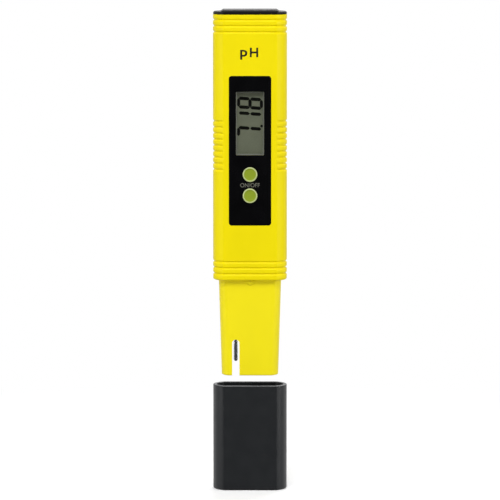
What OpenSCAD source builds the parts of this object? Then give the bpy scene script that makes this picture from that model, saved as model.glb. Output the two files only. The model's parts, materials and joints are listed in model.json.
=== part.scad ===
// Pen-type digital pH meter, in millimetres.
//
// The pen stands point down on the Z axis with its display towards -Y. Its protective cap is
// pulled off and waits just below the probe, mouth up, on the same axis. The origin is the centre
// of the cap's closed end. Heights called "_z" are measured up from the tip of the probe guard.

/* [Body] */
// Width of the body across its round sides
body_w = 30; // [29:0.5:33]
// Depth of the body between its flat front and back
body_d = 14.4; // [14.4:0.2:16]
// Length of the yellow body, from the shoulder to the battery cap
body_len = 107.9; // [107.9:0.5:116]
// Radius of the round sides
side_r = 8.18; // [8:0.02:8.6]
// Wall of the moulded shells
shell_t = 1.5; // [1.3:0.1:1.6]

/* [Ribs and grips] */
// Depth of every groove in the housing
groove_depth = 0.45; // [0.3:0.05:0.6]
// Height of one groove
groove_w = 0.9; // [0.6:0.1:1.2]
// Number of grooves round each end of the body
end_grooves = 3; // [1:1:3]
// Number of grip grooves in each side
grip_grooves = 9; // [5:2:9]
// Distance from one groove to the next
groove_pitch = 2.45; // [2.2:0.05:2.6]

/* [Label and display] */
// Width of the front label
label_w = 17.1; // [16:0.1:18]
// Length of the front label
label_h = 60.6; // [58:0.2:62]
// Thickness of both labels, which lie flush in recesses
label_t = 0.3; // [0.2:0.05:0.4]
// Width of the display window
window_w = 11.3; // [10:0.1:11.6]
// Length of the display window
window_h = 25.6; // [22:0.2:26]

/* [Buttons] */
// Diameter of each button
button_d = 5.9; // [5:0.1:6.4]
// Distance between the two buttons
button_pitch = 8.6; // [8.4:0.1:9.4]
// How far a button travels
button_travel = 0.5; // [0.3:0.05:0.5]

/* [Probe] */
// Length of the probe guard below the shoulder
guard_len = 39; // [37:0.5:39.5]
// How much narrower each side of the guard is at its tip
guard_taper = 1.2; // [0.4:0.1:1.4]
// Width of the slot in the guard
slot_w = 3; // [2.4:0.1:3.4]
// Height of the slot above the tip
slot_h = 14.7; // [10:0.5:20]
// Distance of the slot and the steel needle from the middle
needle_x = 5.8; // [5.6:0.1:6.2]
// Diameter of the steel needle
needle_d = 1.8; // [1.4:0.1:2]
// Diameter of the glass tube
glass_d = 5; // [4.6:0.1:5.2]
// Diameter of the glass bulb
bulb_d = 6.4; // [5.8:0.1:6.8]

/* [Caps] */
// Length of the protective cap
cap_len = 43; // [43:0.5:46]
// Wall of the protective cap
cap_wall = 1.4; // [1.2:0.1:1.5]
// Gap between the pulled-off cap and the tip of the guard
cap_gap = 4; // [3:0.5:10]
// Thickness of the battery cap's rim
rim_h = 1.25; // [1:0.05:2]
// Height of the raised part of the battery cap above its rim
raise_h = 0.65; // [0.4:0.05:1.5]

/* [Power] */
// Diameter of a button cell
cell_d = 11.6; // [11.6]
// Thickness of a button cell
cell_t = 5.4; // [5.4]

/* [Hidden] */
$fn = 96;

// Colours
shell_yellow = [0.95, 0.87, 0.07];
guard_yellow = [0.96, 0.90, 0.12];
label_black = [0.03, 0.03, 0.04];
cap_black = [0.13, 0.13, 0.14];
lcd_green = [0.42, 0.45, 0.36];
button_olive = [0.55, 0.60, 0.28];
board_green = [0.10, 0.35, 0.18];
steel = [0.75, 0.76, 0.78];
gold = [0.80, 0.65, 0.25];
glass_clear = [0.85, 0.93, 0.95, 0.5];

// Small gaps
fit_gap = 0.1;      // round a piece that is seated in another
touch_gap = 0.05;   // between faces that bear on each other
slide_gap = 0.08;   // radial, round a button or a plunger
film_gap = 0.01;    // behind a label, for its glue
over = 1;           // how far a cutter runs past the solid it cuts

// Outline and height of the body
side_x = body_w/2 - side_r;
half_d = body_d/2;
front_y = -half_d;
tip_z = cap_len + cap_gap;
shoulder_z = guard_len;
body_top_z = shoulder_z + body_len;
inner_front_y = front_y + shell_t;
inner_back_y = half_d - shell_t;

// Grooves
end_margin = 2.2;
collar_margin = 2.7;
grip_mid_z = shoulder_z + 54.9;  // the middle of the row of grip grooves
grip_in = 4.2;               // how far the grip grooves reach in from each side

// Seam between the shells: a lip on the rear shell enters the front shell
lip_inset = 0.55*shell_t;
lip_h = 0.8;

// Label, window and buttons
label_r = 1.2;
label_drop = 24.7;           // from the body's top to the label
window_drop = 6.4;           // from the label's top to the window
power_drop = 7.9;            // from the window to the upper button
rear_label_margin = 8;       // how much shorter the rear label is at each end
label_top_z = body_top_z - label_drop;
label_z = label_top_z - label_h;
window_top_z = label_top_z - window_drop;
window_z = window_top_z - window_h;
window_mid_z = window_z + window_h/2;
window_r = 0.3;
window_flange = 1;
window_flange_t = 0.5;
power_z = window_z - power_drop;
cal_z = power_z - button_pitch;
rear_label_z = label_z + rear_label_margin;
rear_label_top_z = label_top_z - rear_label_margin;

// Circuit board
board_y = front_y + 6.2;      // the front of the board
board_t = 1.6;
board_back_y = board_y + board_t;
board_w = 23;
board_z = label_z - 1.1;
board_top_z = body_top_z - 20.9;
screw_margin = 3;            // from each end of the board to its screws
board_r = 1;
screw_x = 9.8;
screw_hole_r = 1.1;
screw_zs = [board_z + screw_margin, board_top_z - screw_margin];
shank_r = 0.8;
screw_head_r = 1.6;
screw_head_h = 1;
boss_r = 2.2;
chip_t = 1.45;
lead_t = 0.3;
controller_z = board_z + 40.5;
crystal_z = controller_z - 10;
amplifier_z = board_z + 12;
column_x = 7;
column_pitch = 2.4;
upper_column_z = controller_z - 6;
lower_column_z = amplifier_z - 4;

// Display stack, from the window back to the board
glass_w = window_w + 2.1;
glass_h = window_h + 3;
glass_y = inner_front_y + 0.8;  // leaves room for the window's flange
glass_t = 1.8;
reflector_y = glass_y + glass_t + touch_gap;
reflector_t = 0.2;
zebra_h = 1.8;
zebra_side = 0.5;            // how far the strips stop short of the glass's sides
frame_wall = 2;

// Buttons, from the outside in
button_proud = 0.25;
button_flange_r = button_d/2 + 0.75;
button_flange_t = 0.6;
button_flange_y = inner_front_y + 3*touch_gap;
button_stem_r = 1.5;
plunger_r = 1.2;
stem_h = 0.2;
plunger_y = button_flange_y + button_flange_t + stem_h + touch_gap;
switch_w = 4.5;
switch_t = 2.6;
switch_y = board_y - switch_t;
plunger_end_y = switch_y + 0.6;  // how deep the plunger starts in its socket

// Probe
guard_inset = 2.3;
guard_wall = 1.3;
guard_neck_inset = guard_inset + fit_gap;
guard_flange_t = 2;
flange_inset = shell_t + fit_gap;
guard_flange_z = shoulder_z + shell_t + fit_gap;
holder_flange_z = guard_flange_z + guard_flange_t + fit_gap;
holder_flange_t = 2;
guard_bore_inset = guard_inset + guard_wall + fit_gap;
holder_inset = guard_bore_inset + 3*fit_gap;
socket_h = 5;                // sockets round the glass tube and the needle
holder_z = shoulder_z - 3;
holder_face_z = holder_flange_z + holder_flange_t;
holder_top_z = holder_face_z + socket_h;
seal_z = shoulder_z - 0.5;
seal_h = 1.6;
seal_depth = 0.4;
rib_inset = shell_t + 1.1;
rib_h = 1;
glass_x = 3.2;
glass_wall = 0.5;
bulb_wall = 0.3;
bulb_tip_z = 5.6;
bulb_z = bulb_tip_z + bulb_d/2;
glass_top_z = holder_top_z + 1.5;
needle_tip_z = 5.3;
junction_x = -1.4;
junction_r = 1;
junction_h = 4.5;
junction_proud = 0.4;
catch_w = 7;
catch_h = 2.2;
catch_t = 0.5;

// Battery cap and tray
plug_inset = shell_t + 0.25;
plug_len = 3.9;
raise_w = 24;
raise_slope = 1.35;
rim_r = rim_h - 0.3;
tray_inset = shell_t + 0.4;
tray_z = board_top_z + 2;
tray_y = front_y + 4;
tray_wall = 1.3;
cell_x = cell_d/2 + 0.3;
cell_z = tray_z + tray_wall + cell_d/2;
cell_back_y = tray_y + cell_t;
bridge_t = 0.3;
bridge_h = 4;
tray_floor_y = cell_back_y + bridge_t + 2*touch_gap;
tray_back_y = tray_floor_y + tray_wall;
tongue_w = 12;
tongue_t = 3;
tongue_h = 2.6;
contact_x = 4;
contact_w = 3;
contact_t = 0.4;
contact_gap = 0.3;           // between an arm and the tray, bridged by a dimple
contact_y = tray_y - contact_gap - contact_t;

// ---------------------------------------------------------------- shared shapes

// Moves children from heights above the guard's tip to the frame of the whole part.
module on_pen() {
    translate([0, 0, tip_z]) children();
}

// Cross-section of the body, inset evenly: flat front and back, with round sides.
module outline(inset = 0) {
    flat_d = body_d - 2*inset;
    square([2*side_x, flat_d], center = true);
    intersection() {
        square([2*body_w, flat_d], center = true);
        for (side = [-1, 1])
            translate([side*side_x, 0]) circle(r = side_r - inset);
    }
}

// Straight length of that cross-section between two heights.
module prism(z0, z1, inset = 0) {
    translate([0, 0, z0]) linear_extrude(z1 - z0) outline(inset);
}

// Box between two corners.
module box(low, high) {
    translate(low) cube(high - low);
}

// Extrudes a shape drawn in X and Z from y0 back to y1.
module through_y(y0, y1) {
    translate([0, y1, 0]) rotate([90, 0, 0]) linear_extrude(y1 - y0) children();
}

// Rectangle with round corners, centred on X, between two heights.
module round_rect(w, z0, z1, r) {
    translate([-w/2, z0 + r]) square([w, z1 - z0 - 2*r]);
    translate([-w/2 + r, z0]) square([w - 2*r, z1 - z0]);
    for (side = [-1, 1], z = [z0 + r, z1 - r])
        translate([side*(w/2 - r), z]) circle(r = r);
}

// Flat plate with round corners that faces -Y.
module plate(w, z0, z1, y0, y1, r) {
    through_y(y0, y1) round_rect(w, z0, z1, r);
}

// Round bar along Y.
module bar_y(x, z, r, y0, y1) {
    translate([x, y1, z]) rotate([90, 0, 0]) cylinder(r = r, h = y1 - y0);
}

// Sheath between two insets of the body's outline, from z0 to z1.
module sheath(z0, z1, outer_inset, inner_inset) {
    difference() {
        prism(z0, z1, outer_inset);
        prism(z0 - over, z1 + over, inner_inset);
    }
}

// Cutter for one groove round the body.
module groove(z) {
    sheath(z - groove_w/2, z + groove_w/2, -over, groove_depth);
}

// Everything on one side of the seam plane: side -1 is the front and 1 is the back.
module half_space(side) {
    reach = body_d;
    y0 = side < 0 ? -reach : 0;
    box([-body_w, y0, -reach], [body_w, y0 + reach, body_top_z + reach]);
}

// ---------------------------------------------------------------- housing

module cut_end_grooves() {
    for (i = [0 : end_grooves - 1]) {
        groove(shoulder_z + collar_margin + i*groove_pitch);
        groove(body_top_z - end_margin - i*groove_pitch);
    }
}

module cut_grips() {
    span = (grip_grooves - 1)*groove_pitch;
    for (i = [0 : grip_grooves - 1])
        intersection() {
            groove(grip_mid_z - span/2 + i*groove_pitch);
            for (side = [-1, 1])
                translate([side*body_w/2, 0, grip_mid_z])
                    cube([2*grip_in, 2*body_d, span + 4*groove_pitch], center = true);
        }
}

// Both shells in one piece, before the seam divides them.
module closed_housing() {
    difference() {
        prism(shoulder_z, body_top_z);
        prism(shoulder_z + shell_t, body_top_z + over, shell_t);
        prism(shoulder_z - over, shoulder_z + shell_t + over, guard_inset);
        cut_end_grooves();
        cut_grips();
    }
    rib_z = holder_flange_z + holder_flange_t + fit_gap;
    sheath(rib_z, rib_z + rib_h, lip_inset, rib_inset);
}

// Lip and the step it enters run between these heights.
module seam_band(outer_inset, inner_inset, y0, y1) {
    intersection() {
        sheath(shoulder_z + 2*shell_t, body_top_z - shell_t, outer_inset, inner_inset);
        box([-body_w, y0, 0], [body_w, y1, body_top_z]);
    }
}

module screw_bosses() {
    for (side = [-1, 1], z = screw_zs)
        bar_y(side*screw_x, z, boss_r, board_back_y + touch_gap, inner_back_y + fit_gap);
}

module front_shell() {
    color(shell_yellow) on_pen() difference() {
        intersection() {
            closed_housing();
            half_space(-1);
        }
        plate(label_w + 2*touch_gap, label_z - touch_gap, label_top_z + touch_gap,
              front_y - over, front_y + label_t, label_r);
        plate(window_w + 2*fit_gap, window_z - fit_gap, window_top_z + fit_gap,
              front_y - over, inner_front_y + over, window_r);
        for (z = [power_z, cal_z])
            bar_y(0, z, button_d/2 + slide_gap, front_y - over, inner_front_y + over);
        seam_band(lip_inset, rib_inset + over, -lip_h - fit_gap, over);
    }
}

module rear_shell() {
    color(shell_yellow) on_pen() difference() {
        union() {
            intersection() {
                closed_housing();
                half_space(1);
            }
            seam_band(lip_inset + touch_gap, shell_t, -lip_h, lip_h);
            screw_bosses();
        }
        plate(label_w + 2*touch_gap, rear_label_z - touch_gap, rear_label_top_z + touch_gap,
              half_d - label_t, half_d + over, label_r);
        for (side = [-1, 1], z = screw_zs)
            bar_y(side*screw_x, z, shank_r + touch_gap, board_back_y - over, inner_back_y - 0.3);
    }
}

module front_label() {
    color(label_black) on_pen() difference() {
        plate(label_w, label_z, label_top_z, front_y, front_y + label_t - film_gap, label_r);
        plate(window_w + 2*fit_gap, window_z - fit_gap, window_top_z + fit_gap,
              front_y - over, front_y + over, window_r);
        for (z = [power_z, cal_z])
            bar_y(0, z, button_d/2 + slide_gap, front_y - over, front_y + over);
    }
}

module rear_label() {
    color(label_black) on_pen()
        plate(label_w, rear_label_z, rear_label_top_z,
              half_d - label_t + film_gap, half_d, label_r);
}

// ---------------------------------------------------------------- display

// Clear window: it fills the opening and a flange bears on the inside of the shell.
module display_window() {
    color(glass_clear) on_pen() {
        flange_y = inner_front_y + touch_gap;
        plate(window_w, window_z, window_top_z, front_y, flange_y + window_flange_t, window_r);
        plate(window_w + 2*window_flange, window_z - window_flange, window_top_z + window_flange,
              flange_y, flange_y + window_flange_t, window_r);
    }
}

// Frame round the display glass, from just behind the window's flange to the board.
module lcd_frame() {
    y0 = inner_front_y + window_flange_t + 3*touch_gap;
    color("whitesmoke") on_pen() difference() {
        plate(glass_w + 2*frame_wall, window_mid_z - glass_h/2 - frame_wall,
              window_mid_z + glass_h/2 + frame_wall, y0, board_y - touch_gap, frame_wall/2);
        plate(glass_w + 2*fit_gap, window_mid_z - glass_h/2 - fit_gap,
              window_mid_z + glass_h/2 + fit_gap, y0 - over, board_y + over, window_r);
    }
}

module lcd_glass() {
    color(lcd_green) on_pen()
        plate(glass_w, window_mid_z - glass_h/2, window_mid_z + glass_h/2,
              glass_y, glass_y + glass_t, window_r);
}

module lcd_reflector() {
    reach = glass_h/2 - zebra_h - 2*fit_gap;
    color("silver") on_pen()
        plate(glass_w - 2*zebra_side, window_mid_z - reach, window_mid_z + reach,
              reflector_y, reflector_y + reflector_t, window_r);
}

// Conductive rubber strips between the two ends of the glass and the board.
module zebra_connectors() {
    color("dimgray") on_pen()
        for (side = [-1, 1])
            translate([0, 0, window_mid_z + side*(glass_h - zebra_h)/2])
                box([-glass_w/2 + zebra_side, reflector_y, -zebra_h/2],
                    [glass_w/2 - zebra_side, board_y - touch_gap, zebra_h/2]);
}

// ---------------------------------------------------------------- electronics

module circuit_board() {
    color(board_green) on_pen() difference() {
        plate(board_w, board_z, board_top_z, board_y, board_back_y, board_r);
        for (side = [-1, 1], z = screw_zs)
            bar_y(side*screw_x, z, screw_hole_r, board_y - over, board_back_y + over);
    }
}

// Row of leads on both sides of a chip that lies on the back of the board.
module lead_rows(count, pitch, reach, lead_w) {
    for (i = [0 : count - 1])
        translate([0, 0, (i - (count - 1)/2)*pitch])
            box([-reach, board_back_y, -lead_w/2], [reach, board_back_y + lead_t, lead_w/2]);
}

// Chip body that its leads hold just off the back of the board.
module chip_body(w, h) {
    box([-w/2, board_back_y + lead_t/2, -h/2], [w/2, board_back_y + chip_t, h/2]);
}

// Square chip with leads on all four sides.
module controller_chip() {
    chip_w = 7;
    leads = 8;
    lead_pitch = 0.8;
    lead_w = 0.35;
    reach = chip_w/2 + 0.9;
    color("black") on_pen() translate([0, 0, controller_z]) {
        chip_body(chip_w, chip_w);
        for (turn = [0, 90])
            rotate([0, turn, 0]) lead_rows(leads, lead_pitch, reach, lead_w);
    }
}

// Small chip with leads on two sides.
module amplifier_chip() {
    chip_w = 3.9;
    chip_h = 4.9;
    leads = 4;
    lead_pitch = 1.27;
    lead_w = 0.4;
    reach = chip_w/2 + 1;
    color("black") on_pen() translate([0, 0, amplifier_z]) {
        chip_body(chip_w, chip_h);
        lead_rows(leads, lead_pitch, reach, lead_w);
    }
}

// Metal can of the crystal, lying on the back of the board.
module crystal() {
    can_w = 10.5;
    can_t = 3.5;
    can_r = 2;
    color("silver") on_pen()
        plate(can_w, crystal_z - can_r, crystal_z + can_r,
              board_back_y + touch_gap, board_back_y + can_t, can_r - touch_gap);
}

// Column of small chip parts of one size on the back of the board, upwards from height z.
module chip_column(x, z, count, size) {
    for (i = [0 : count - 1])
        translate([x - size[0]/2, board_back_y + touch_gap, z + column_pitch*i - size[2]/2])
            cube(size);
}

module chip_resistors() {
    resistor = [1.6, 0.5, 0.8];
    color("black") on_pen() {
        chip_column(-column_x, upper_column_z, 4, resistor);
        chip_column(column_x, lower_column_z, 3, resistor);
    }
}

module chip_capacitors() {
    capacitor = [2, 0.9, 1.25];
    color("tan") on_pen() {
        chip_column(column_x, upper_column_z, 4, capacitor);
        chip_column(-column_x, lower_column_z, 3, capacitor);
    }
}

// Two push switches with a socket each for the plunger, and their feet.
module tact_switches() {
    foot_z = 1.6;
    foot_w = 0.7;
    foot_reach = switch_w/2 + 1;
    color("dimgray") on_pen()
        for (z = [power_z, cal_z])
            difference() {
                translate([0, 0, z]) {
                    box([-switch_w/2, switch_y, -switch_w/2],
                        [switch_w/2, board_y - touch_gap, switch_w/2]);
                    for (side = [-1, 1])
                        translate([0, 0, side*foot_z])
                            box([-foot_reach, board_y - lead_t, -foot_w/2],
                                [foot_reach, board_y - touch_gap, foot_w/2]);
                }
                bar_y(0, z, plunger_r + slide_gap,
                      switch_y - over, plunger_end_y + button_travel + 2*fit_gap);
            }
}

module pcb_screws() {
    head_y = board_y - touch_gap - screw_head_h;
    cross_w = 0.5;
    cross_reach = screw_head_r - 0.4;
    tip_y = inner_back_y - 0.6;
    color(steel) on_pen()
        for (side = [-1, 1], z = screw_zs)
            difference() {
                union() {
                    bar_y(side*screw_x, z, screw_head_r, head_y, board_y - touch_gap);
                    bar_y(side*screw_x, z, shank_r, head_y + touch_gap, tip_y);
                }
                translate([side*screw_x, head_y, z])
                    for (turn = [0, 90])
                        rotate([0, turn, 0])
                            cube([2*cross_reach, 2*cross_w, cross_w], center = true);
            }
}

// Two leaf springs: foot on the board, shelf below the tray, and an arm up over each cell.
module battery_contacts() {
    arm_top_z = cell_z + 4;
    shelf_z = board_top_z + 0.8;
    foot_h = 5;
    dimple_r = 0.8;
    dimple_z = cell_z + 1;
    color(gold) on_pen()
        for (side = [-1, 1])
            translate([side*contact_x, 0, 0]) {
                box([-contact_w/2, board_y - contact_t - touch_gap, board_top_z - foot_h],
                    [contact_w/2, board_y - touch_gap, shelf_z + contact_t]);
                box([-contact_w/2, contact_y, shelf_z],
                    [contact_w/2, board_y - touch_gap, shelf_z + contact_t]);
                box([-contact_w/2, contact_y, shelf_z],
                    [contact_w/2, contact_y + contact_t, arm_top_z]);
                bar_y(0, dimple_z, dimple_r, contact_y, tray_y - fit_gap);
            }
}

// Three leads from the top of the probe to the front of the board.
module signal_wires() {
    wire_r = 0.5;
    tail_h = 5;
    wire_y = board_y - wire_r - fit_gap;
    knee_z = board_z - 2;
    starts = [[-needle_x, glass_top_z], [junction_x, holder_face_z], [glass_x, glass_top_z]];
    color("firebrick") on_pen()
        for (start = starts) {
            start_z = start[1] + 2*fit_gap;
            lean = atan(-wire_y/(knee_z - start_z));
            translate([start[0], 0, 0]) {
                translate([0, 0, start_z]) rotate([lean, 0, 0])
                    cylinder(r = wire_r, h = (knee_z - start_z)/cos(lean));
                translate([0, wire_y, knee_z]) {
                    sphere(r = wire_r + touch_gap);
                    cylinder(r = wire_r, h = tail_h);
                }
            }
        }
}

// ---------------------------------------------------------------- probe

// Half distance between the centres of the guard's round sides at height z.
function guard_side_x(z) = side_x - guard_taper*(1 - z/guard_len);

// Length of the guard with round sides that lean in towards the tip.
module tapered(z0, z1, inset) {
    lean = atan(guard_taper/guard_len);
    flat_d = half_d - inset;
    intersection() {
        box([-body_w, -flat_d, z0], [body_w, flat_d, z1]);
        union() {
            through_y(-body_d, body_d) polygon([
                [-guard_side_x(z0), z0], [guard_side_x(z0), z0],
                [guard_side_x(z1), z1], [-guard_side_x(z1), z1]
            ]);
            for (side = [-1, 1])
                translate([side*guard_side_x(0), 0, 0]) rotate([0, side*lean, 0])
                    translate([0, 0, -2*over])
                        cylinder(r = side_r - inset, h = guard_len + 4*over);
        }
    }
}

// Slot that shows the needle, through the front and the back of the guard.
module guard_slot() {
    slot_r = slot_w/2;
    through_y(-body_d, body_d) {
        translate([-needle_x, slot_h - slot_r]) circle(r = slot_r);
        translate([-needle_x - slot_r, -over]) square([slot_w, slot_h - slot_r + over]);
    }
}

// Arrow-shaped catch that the protective cap clips over.
module guard_catch() {
    face_y = front_y + guard_inset;
    top_z = shoulder_z - touch_gap;
    through_y(face_y - catch_t, face_y + guard_wall/2)
        polygon([[-catch_w/2, top_z], [0, top_z - catch_h], [catch_w/2, top_z]]);
}

module electrode_guard() {
    flange_top_z = guard_flange_z + guard_flange_t;
    color(guard_yellow) on_pen() difference() {
        union() {
            tapered(0, shoulder_z - touch_gap, guard_inset);
            prism(shoulder_z - 2*touch_gap, flange_top_z, guard_neck_inset);
            prism(guard_flange_z, flange_top_z, flange_inset);
            guard_catch();
        }
        tapered(-over, shoulder_z - over, guard_inset + guard_wall);
        prism(shoulder_z - 2*over, flange_top_z + over, guard_bore_inset);
        guard_slot();
    }
}

// Plug in the top of the guard. It carries the glass tube, the needle and the junction.
module electrode_holder() {
    socket_wall = 0.8;
    color("gainsboro") on_pen() difference() {
        union() {
            prism(holder_z, holder_flange_z + over, holder_inset);
            prism(holder_flange_z, holder_flange_z + holder_flange_t, flange_inset);
            translate([glass_x, 0, holder_flange_z])
                cylinder(d = glass_d + 2*socket_wall, h = holder_top_z - holder_flange_z);
            translate([-needle_x, 0, holder_flange_z])
                cylinder(d = needle_d + 2*socket_wall, h = holder_top_z - holder_flange_z);
        }
        sheath(seal_z, seal_z + seal_h, holder_inset - over, holder_inset + seal_depth);
        translate([glass_x, 0, holder_z - over])
            cylinder(d = glass_d + 2*touch_gap, h = holder_top_z);
        translate([-needle_x, 0, holder_z - over])
            cylinder(d = needle_d + 2*touch_gap, h = holder_top_z);
        translate([junction_x, 0, holder_z - over])
            cylinder(r = junction_r + touch_gap, h = over + junction_h);
    }
}

module holder_seal() {
    color("black") on_pen()
        sheath(seal_z + touch_gap, seal_z + seal_h - touch_gap,
               guard_bore_inset + touch_gap, holder_inset + seal_depth - touch_gap);
}

// Glass tube, open at both ends, that stands on the bulb.
module glass_electrode() {
    color(glass_clear) on_pen()
        translate([glass_x, 0, bulb_z]) difference() {
            cylinder(d = glass_d, h = glass_top_z - bulb_z);
            translate([0, 0, -over])
                cylinder(d = glass_d - 2*glass_wall, h = glass_top_z - bulb_z + 2*over);
            sphere(d = bulb_d + 2*touch_gap);
        }
}

// Thin sensing bulb: a hollow ball with a neck that stands inside the tube.
module glass_bulb() {
    neck_d = glass_d - 2*glass_wall - 2*touch_gap;
    neck_h = bulb_d/2 + 2;       // the neck stands this far up inside the tube
    color(glass_clear) on_pen()
        translate([glass_x, 0, bulb_z]) difference() {
            union() {
                sphere(d = bulb_d);
                cylinder(d = neck_d, h = neck_h);
            }
            sphere(d = bulb_d - 2*bulb_wall);
            cylinder(d = neck_d - 2*bulb_wall, h = neck_h + over);
        }
}

module reference_wire() {
    wire_d = 0.6;
    bead_d = 0.9;
    wire_top_z = glass_top_z - 0.3;
    color("silver") on_pen()
        translate([glass_x, 0, bulb_z]) {
            cylinder(d = wire_d, h = wire_top_z - bulb_z);
            sphere(d = bead_d);
        }
}

module reference_junction() {
    color("white") on_pen()
        translate([junction_x, 0, holder_z - junction_proud])
            cylinder(r = junction_r, h = junction_h);
}

module temperature_probe() {
    color(steel) on_pen() {
        translate([-needle_x, 0, needle_tip_z + needle_d/2]) {
            sphere(d = needle_d);
            cylinder(d = needle_d, h = glass_top_z - needle_tip_z - needle_d/2);
        }
    }
}

// ---------------------------------------------------------------- battery cap

// Side view of the battery cap above the body: round-cornered rim and a raised middle.
module battery_cap_profile() {
    rim_z = body_top_z + touch_gap;
    rim_top_z = body_top_z + rim_h;
    top_z = rim_top_z + raise_h;
    rim_w = body_w - 2*touch_gap;
    foot_z = rim_top_z - 0.5;    // the raised middle starts inside the rim
    translate([-rim_w/2, rim_z]) square([rim_w, rim_top_z - rim_r - rim_z]);
    translate([-rim_w/2 + rim_r, rim_z]) square([rim_w - 2*rim_r, rim_top_z - rim_z]);
    for (side = [-1, 1])
        translate([side*(rim_w/2 - rim_r), rim_top_z - rim_r]) circle(r = rim_r);
    polygon([
        [-raise_w/2, foot_z], [raise_w/2, foot_z],
        [raise_w/2, rim_top_z], [raise_w/2 - raise_slope, top_z],
        [-raise_w/2 + raise_slope, top_z], [-raise_w/2, rim_top_z]
    ]);
}

module battery_cap() {
    plug_z = body_top_z - plug_len;
    color(cap_black) on_pen() difference() {
        union() {
            intersection() {
                through_y(-body_d, body_d) battery_cap_profile();
                prism(body_top_z, body_top_z + rim_h + raise_h + over, touch_gap);
            }
            prism(plug_z, body_top_z + rim_h/2, plug_inset);
        }
        box([-tongue_w/2 - fit_gap, -tongue_t/2 - fit_gap, plug_z - over],
            [tongue_w/2 + fit_gap, tongue_t/2 + fit_gap, plug_z + tongue_h + fit_gap]);
    }
}

// Tray that holds the two cells side by side, open to the front, with a tongue into the cap.
module battery_tray() {
    tray_top_z = body_top_z - plug_len - touch_gap;
    color("dimgray") on_pen() difference() {
        union() {
            intersection() {
                prism(tray_z, tray_top_z, tray_inset);
                box([-body_w, tray_y, 0], [body_w, tray_back_y, body_top_z]);
            }
            box([-tongue_w/2, -tongue_t/2, tray_top_z - over],
                [tongue_w/2, tongue_t/2, tray_top_z + tongue_h]);
        }
        for (side = [-1, 1])
            bar_y(side*cell_x, cell_z, cell_d/2 + fit_gap, tray_y - over, tray_floor_y);
        box([-cell_x, tray_y + 2, cell_z - bridge_h/2 - fit_gap],
            [cell_x, tray_floor_y, cell_z + bridge_h/2 + fit_gap]);
    }
}

// Two cells, each a can with the smaller cap of its other pole on the front or the back.
module button_cells() {
    pole_t = 0.4;
    pole_r = cell_d/2 - 1.2;
    color(steel) on_pen()
        for (side = [-1, 1]) {
            pole_y = side > 0 ? tray_y : cell_back_y - pole_t;
            can_y = side > 0 ? tray_y + pole_t : tray_y;
            bar_y(side*cell_x, cell_z, cell_d/2, can_y, can_y + cell_t - pole_t);
            bar_y(side*cell_x, cell_z, pole_r, pole_y, pole_y + pole_t);
        }
}

// Metal strip behind the cells that joins them in series.
module cell_bridge() {
    color(gold) on_pen()
        box([-cell_x, cell_back_y + touch_gap, cell_z - bridge_h/2],
            [cell_x, cell_back_y + touch_gap + bridge_t, cell_z + bridge_h/2]);
}

// ---------------------------------------------------------------- buttons

// Round button: dished face, retaining flange inside the shell and a short stem.
module button(z) {
    dish_r = 2.3;
    dish_depth = 0.12;
    color(button_olive) on_pen() difference() {
        union() {
            bar_y(0, z, button_d/2, front_y - button_proud, button_flange_y + fit_gap);
            bar_y(0, z, button_flange_r, button_flange_y, button_flange_y + button_flange_t);
            bar_y(0, z, button_stem_r, button_flange_y, plunger_y - touch_gap);
        }
        bar_y(0, z, dish_r, front_y - button_proud - over, front_y - button_proud + dish_depth);
    }
}

// Plunger of the switch behind a button. It slides in the switch's socket.
module plunger(z) {
    color("ivory") on_pen() bar_y(0, z, plunger_r, plunger_y, plunger_end_y);
}

module power_button() { button(power_z); }
module power_plunger() { plunger(power_z); }
module cal_button() { button(cal_z); }
module cal_plunger() { plunger(cal_z); }

// ---------------------------------------------------------------- protective cap

module protective_cap() {
    floor_t = 1.8;
    color(cap_black) difference() {
        prism(0, cap_len);
        prism(floor_t, cap_len + over, cap_wall);
    }
}

// ---------------------------------------------------------------- nodes

front_shell();
rear_shell();
front_label();
rear_label();
display_window();
lcd_frame();
lcd_glass();
lcd_reflector();
zebra_connectors();
circuit_board();
controller_chip();
amplifier_chip();
crystal();
chip_resistors();
chip_capacitors();
tact_switches();
pcb_screws();
battery_contacts();
electrode_guard();
electrode_holder();
holder_seal();
glass_electrode();
glass_bulb();
reference_wire();
reference_junction();
temperature_probe();
signal_wires();
battery_cap();
battery_tray();
button_cells();
cell_bridge();
power_button();
power_plunger();
cal_button();
cal_plunger();
protective_cap();
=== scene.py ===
"""Looks of the pen-type digital pH meter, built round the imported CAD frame.

Shapes are worked out in millimetres in the row frame, and new_object() turns them into metres.
Heights are measured from the foot of the protective cap, which is the frame's origin.
"""
import json
import math

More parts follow.
